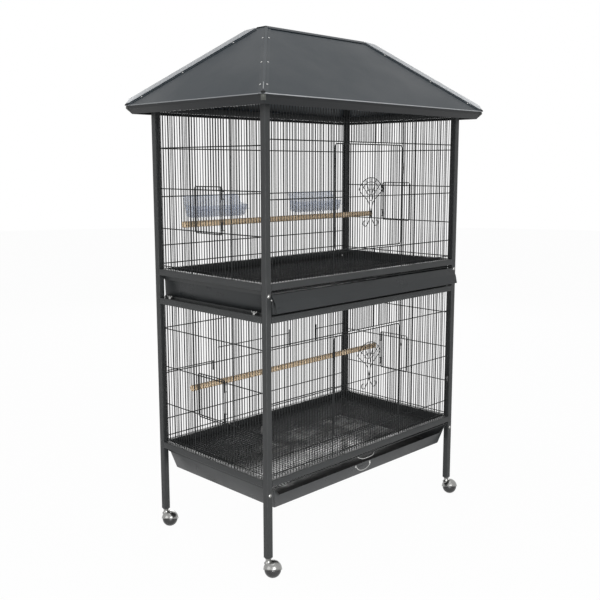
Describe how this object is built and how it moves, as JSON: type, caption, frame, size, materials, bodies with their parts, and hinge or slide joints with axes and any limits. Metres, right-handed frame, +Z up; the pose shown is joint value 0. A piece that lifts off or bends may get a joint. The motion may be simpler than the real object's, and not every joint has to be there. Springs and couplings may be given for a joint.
{
  "type": "bird cage",
  "caption": "Two-tier wire flight cage on ball casters with hipped sheet roof, front and side doors, slide-out trays and floor grates.",
  "frame": {"origin": "on the floor under the middle of the cage", "axes": "+Z up, the two front doors face -Y, +X to the right seen from the front"},
  "size_m": [1.0396, 0.649, 1.6313],
  "materials": {
    "frame_paint": "dark grey powder coat",
    "roof_paint": "mid grey powder coat",
    "tray_paint": "dark grey powder coat",
    "chrome": "polished",
    "zinc": "bright zinc plate",
    "handle_wire": "bright wire",
    "latch_steel": "black",
    "caster_ball": "black nylon",
    "perch_wood": "bare round dowel",
    "feeder_plastic": "translucent blue grey"
  },
  "bodies": {
    "cage": {"back_left_hip_cap": "roof_paint", "back_left_post": "frame_paint", "back_right_hip_cap": "roof_paint", "back_right_post": "frame_paint", "back_roof_sheet": "roof_paint", "front_left_hip_cap": "roof_paint", "front_left_post": "frame_paint", "front_right_hip_cap": "roof_paint", "front_right_post": "frame_paint", "front_roof_sheet": "roof_paint", "left_back_wing_nut": "zinc", "left_feeder": "feeder_plastic", "left_front_wing_nut": "zinc", "left_roof_sheet": "roof_paint", "lower_back_wall": "frame_paint", "lower_front_wall": "frame_paint", "lower_left_runner": "frame_paint", "lower_left_wall": "frame_paint", "lower_perch": "perch_wood", "lower_right_runner": "frame_paint", "lower_right_wall": "frame_paint", "ridge_cap": "roof_paint", "right_back_wing_nut": "zinc", "right_feeder": "feeder_plastic", "right_front_wing_nut": "zinc", "right_roof_sheet": "roof_paint", "upper_back_wall": "frame_paint", "upper_front_wall": "frame_paint", "upper_left_runner": "frame_paint", "upper_left_wall": "frame_paint", "upper_perch": "perch_wood", "upper_right_runner": "frame_paint", "upper_right_wall": "frame_paint"},
    "upper_front_door": {"upper_front_door": "frame_paint", "upper_door_fan": "frame_paint"},
    "upper_latch": {"upper_door_latch": "latch_steel"},
    "upper_left_door": {"upper_left_door": "frame_paint"},
    "upper_right_door": {"upper_right_door": "frame_paint"},
    "upper_tray": {"upper_tray": "tray_paint", "seed_guard": "tray_paint"},
    "upper_grate": {"upper_grate": "frame_paint"},
    "lower_front_door": {"lower_front_door": "frame_paint", "lower_door_fan": "frame_paint"},
    "lower_latch": {"lower_door_latch": "latch_steel"},
    "lower_left_door": {"lower_left_door": "frame_paint"},
    "lower_right_door": {"lower_right_door": "frame_paint"},
    "lower_tray": {"lower_tray": "tray_paint"},
    "lower_grate": {"lower_grate": "frame_paint"},
    "lower_tray_handle": {"lower_tray_handle": "handle_wire"},
    "front_left_hood": {"front_left_caster_hood": "chrome"},
    "front_left_ball": {"front_left_caster_ball": "caster_ball"},
    "front_right_hood": {"front_right_caster_hood": "chrome"},
    "front_right_ball": {"front_right_caster_ball": "caster_ball"},
    "back_left_hood": {"back_left_caster_hood": "chrome"},
    "back_left_ball": {"back_left_caster_ball": "caster_ball"},
    "back_right_hood": {"back_right_caster_hood": "chrome"},
    "back_right_ball": {"back_right_caster_ball": "caster_ball"}
  },
  "joints": [
    {"name": "upper_front_door_hinge", "type": "hinge", "parent": "cage", "child": "upper_front_door", "pos_m": [-0.1687, -0.258, 0.949], "axis": [0, 0, -1], "range_deg": [0, 150]},
    {"name": "upper_latch_pivot", "type": "hinge", "parent": "upper_front_door", "child": "upper_latch", "pos_m": [0.15305, -0.2578, 1.199], "axis": [0, -1, 0], "range_deg": [0, 180]},
    {"name": "upper_left_door_hinge", "type": "hinge", "parent": "cage", "child": "upper_left_door", "pos_m": [-0.4562, -0.0733, 1.004], "axis": [0, 0, 1], "range_deg": [0, 150]},
    {"name": "upper_right_door_hinge", "type": "hinge", "parent": "cage", "child": "upper_right_door", "pos_m": [0.4562, 0.0733, 1.004], "axis": [0, 0, 1], "range_deg": [0, 150]},
    {"name": "upper_tray_slide", "type": "slide", "parent": "cage", "child": "upper_tray", "axis": [0, -1, 0], "range_m": [0, 0.4]},
    {"name": "upper_grate_slide", "type": "slide", "parent": "cage", "child": "upper_grate", "axis": [0, -1, 0], "range_m": [0, 0.4]},
    {"name": "lower_front_door_hinge", "type": "hinge", "parent": "cage", "child": "lower_front_door", "pos_m": [-0.1687, -0.258, 0.361], "axis": [0, 0, -1], "range_deg": [0, 150]},
    {"name": "lower_latch_pivot", "type": "hinge", "parent": "lower_front_door", "child": "lower_latch", "pos_m": [0.15305, -0.2578, 0.611], "axis": [0, -1, 0], "range_deg": [0, 180]},
    {"name": "lower_left_door_hinge", "type": "hinge", "parent": "cage", "child": "lower_left_door", "pos_m": [-0.4562, -0.0733, 0.425], "axis": [0, 0, 1], "range_deg": [0, 150]},
    {"name": "lower_right_door_hinge", "type": "hinge", "parent": "cage", "child": "lower_right_door", "pos_m": [0.4562, 0.0733, 0.425], "axis": [0, 0, 1], "range_deg": [0, 150]},
    {"name": "lower_tray_slide", "type": "slide", "parent": "cage", "child": "lower_tray", "axis": [0, -1, 0], "range_m": [0, 0.4]},
    {"name": "lower_grate_slide", "type": "slide", "parent": "cage", "child": "lower_grate", "axis": [0, -1, 0], "range_m": [0, 0.4]},
    {"name": "lower_tray_handle_pivot", "type": "hinge", "parent": "lower_tray", "child": "lower_tray_handle", "pos_m": [-0.022, -0.25432, 0.2355], "axis": [-1, 0, 0], "range_deg": [0, 100]},
    {"name": "front_left_swivel", "type": "hinge", "parent": "cage", "child": "front_left_hood", "pos_m": [-0.45, -0.255, 0.062], "axis": [0, 0, 1], "continuous": true},
    {"name": "front_left_roll", "type": "hinge", "parent": "front_left_hood", "child": "front_left_ball", "pos_m": [-0.44081, -0.26419, 0.025], "axis": [0.7071, 0.7071, 0], "continuous": true},
    {"name": "front_right_swivel", "type": "hinge", "parent": "cage", "child": "front_right_hood", "pos_m": [0.45, -0.255, 0.062], "axis": [0, 0, 1], "continuous": true},
    {"name": "front_right_roll", "type": "hinge", "parent": "front_right_hood", "child": "front_right_ball", "pos_m": [0.45919, -0.26419, 0.025], "axis": [0.7071, 0.7071, 0], "continuous": true},
    {"name": "back_left_swivel", "type": "hinge", "parent": "cage", "child": "back_left_hood", "pos_m": [-0.45, 0.255, 0.062], "axis": [0, 0, 1], "continuous": true},
    {"name": "back_left_roll", "type": "hinge", "parent": "back_left_hood", "child": "back_left_ball", "pos_m": [-0.44081, 0.24581, 0.025], "axis": [0.7071, 0.7071, 0], "continuous": true},
    {"name": "back_right_swivel", "type": "hinge", "parent": "cage", "child": "back_right_hood", "pos_m": [0.45, 0.255, 0.062], "axis": [0, 0, 1], "continuous": true},
    {"name": "back_right_roll", "type": "hinge", "parent": "back_right_hood", "child": "back_right_ball", "pos_m": [0.45919, 0.24581, 0.025], "axis": [0.7071, 0.7071, 0], "continuous": true}
  ]
}
